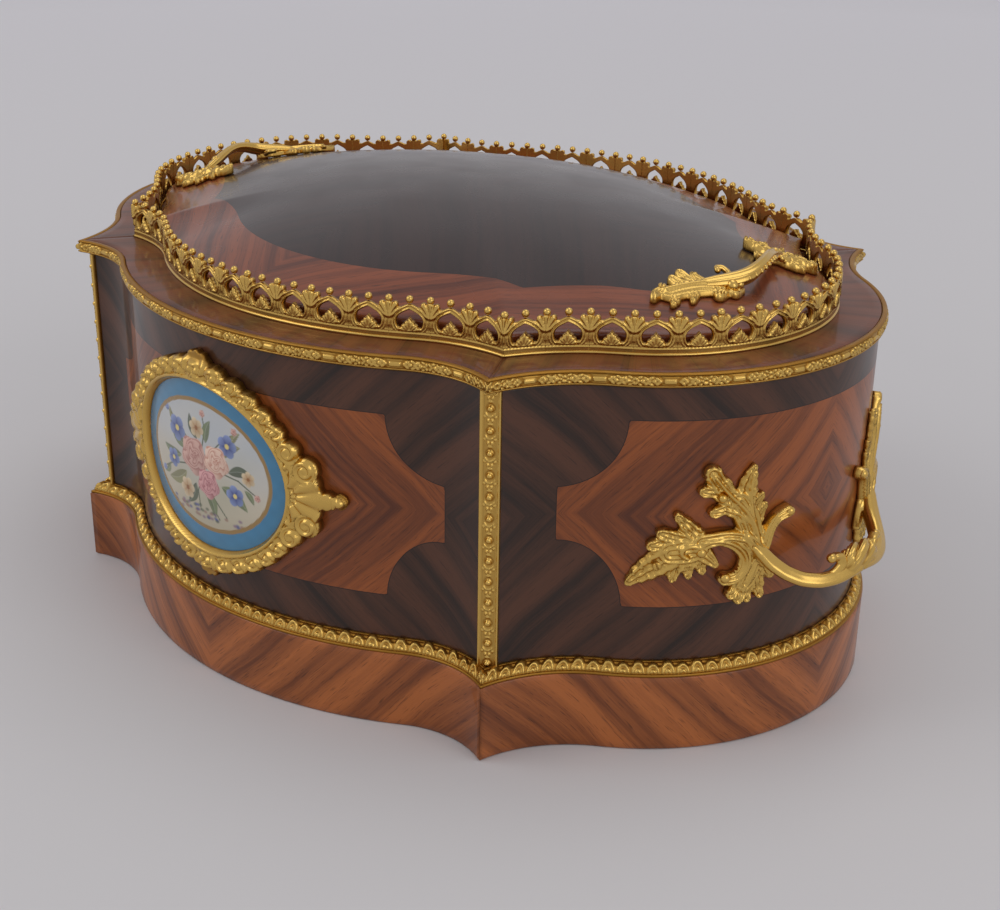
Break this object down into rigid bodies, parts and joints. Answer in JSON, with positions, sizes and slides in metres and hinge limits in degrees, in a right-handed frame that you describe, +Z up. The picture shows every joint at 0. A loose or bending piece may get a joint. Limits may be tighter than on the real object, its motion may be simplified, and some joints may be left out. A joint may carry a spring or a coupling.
{
  "type": "jardiniere",
  "caption": "Serpentine veneered planter box with gilt mounts, a pierced gallery, a domed lift-off lid, a lift-out liner and fixed end handles.",
  "frame": {"origin": "centre of the plan, on the surface that the plinth stands on", "axes": "+Z up; +X towards one end, along the object's longest extent; -Y towards the front, which bears the plaque"},
  "size_m": [0.471, 0.3381, 0.204],
  "materials": {
    "veneer": "kingwood and tulipwood veneer, french polished",
    "lid_veneer": "dark straight-grained veneer with a cross-grained border, french polished",
    "carcase_wood": "plain oak and pine, unpolished",
    "gilt_brass": "fire-gilt cast brass, matt ground with burnished high points",
    "screw_brass": "polished brass",
    "porcelain": "glazed porcelain, turquoise ground with a painted oval",
    "zinc": "dull zinc sheet"
  },
  "bodies": {
    "case": {"plinth_front": "veneer", "plinth_right": "veneer", "plinth_back": "veneer", "plinth_left": "veneer", "base_board": "carcase_wood", "case_front": "veneer", "case_right": "veneer", "case_back": "veneer", "case_left": "veneer", "corner_blocks": "carcase_wood", "glue_blocks": "carcase_wood", "top_rim_front": "veneer", "top_rim_right": "veneer", "top_rim_back": "veneer", "top_rim_left": "veneer", "edge_moulding_front": "gilt_brass", "edge_moulding_right": "gilt_brass", "edge_moulding_back": "gilt_brass", "edge_moulding_left": "gilt_brass", "base_moulding_front": "gilt_brass", "base_moulding_right": "gilt_brass", "base_moulding_back": "gilt_brass", "base_moulding_left": "gilt_brass", "corner_strip_front_right": "gilt_brass", "corner_strip_back_right": "gilt_brass", "corner_strip_back_left": "gilt_brass", "corner_strip_front_left": "gilt_brass", "gallery_front": "gilt_brass", "gallery_right": "gilt_brass", "gallery_back": "gilt_brass", "gallery_left": "gilt_brass", "plaque": "porcelain", "plaque_frame": "gilt_brass", "end_handle_right": "gilt_brass", "end_handle_left": "gilt_brass", "end_handle_screws": "screw_brass"},
    "liner": {"liner": "zinc", "liner_lugs": "zinc"},
    "bail_right": {"liner_bail_right": "zinc"},
    "bail_left": {"liner_bail_left": "zinc"},
    "lid": {"lid_dome": "lid_veneer", "lid_frame": "carcase_wood", "lid_battens": "carcase_wood", "lid_handle_right": "gilt_brass", "lid_handle_left": "gilt_brass", "lid_handle_screws": "screw_brass"}
  },
  "joints": [
    {"name": "liner_lift", "type": "slide", "parent": "case", "child": "liner", "axis": [0, 0, 1], "range_m": [0, 0.15]},
    {"name": "lid_lift", "type": "slide", "parent": "liner", "child": "lid", "axis": [0, 0, 1], "range_m": [0, 0.15]},
    {"name": "bail_right_swing", "type": "hinge", "parent": "liner", "child": "bail_right", "pos_m": [0.1746, 0, 0.132], "axis": [0, 1, 0], "range_deg": [0, 165]},
    {"name": "bail_left_swing", "type": "hinge", "parent": "liner", "child": "bail_left", "pos_m": [-0.1746, 0, 0.132], "axis": [0, -1, 0], "range_deg": [0, 165]}
  ]
}
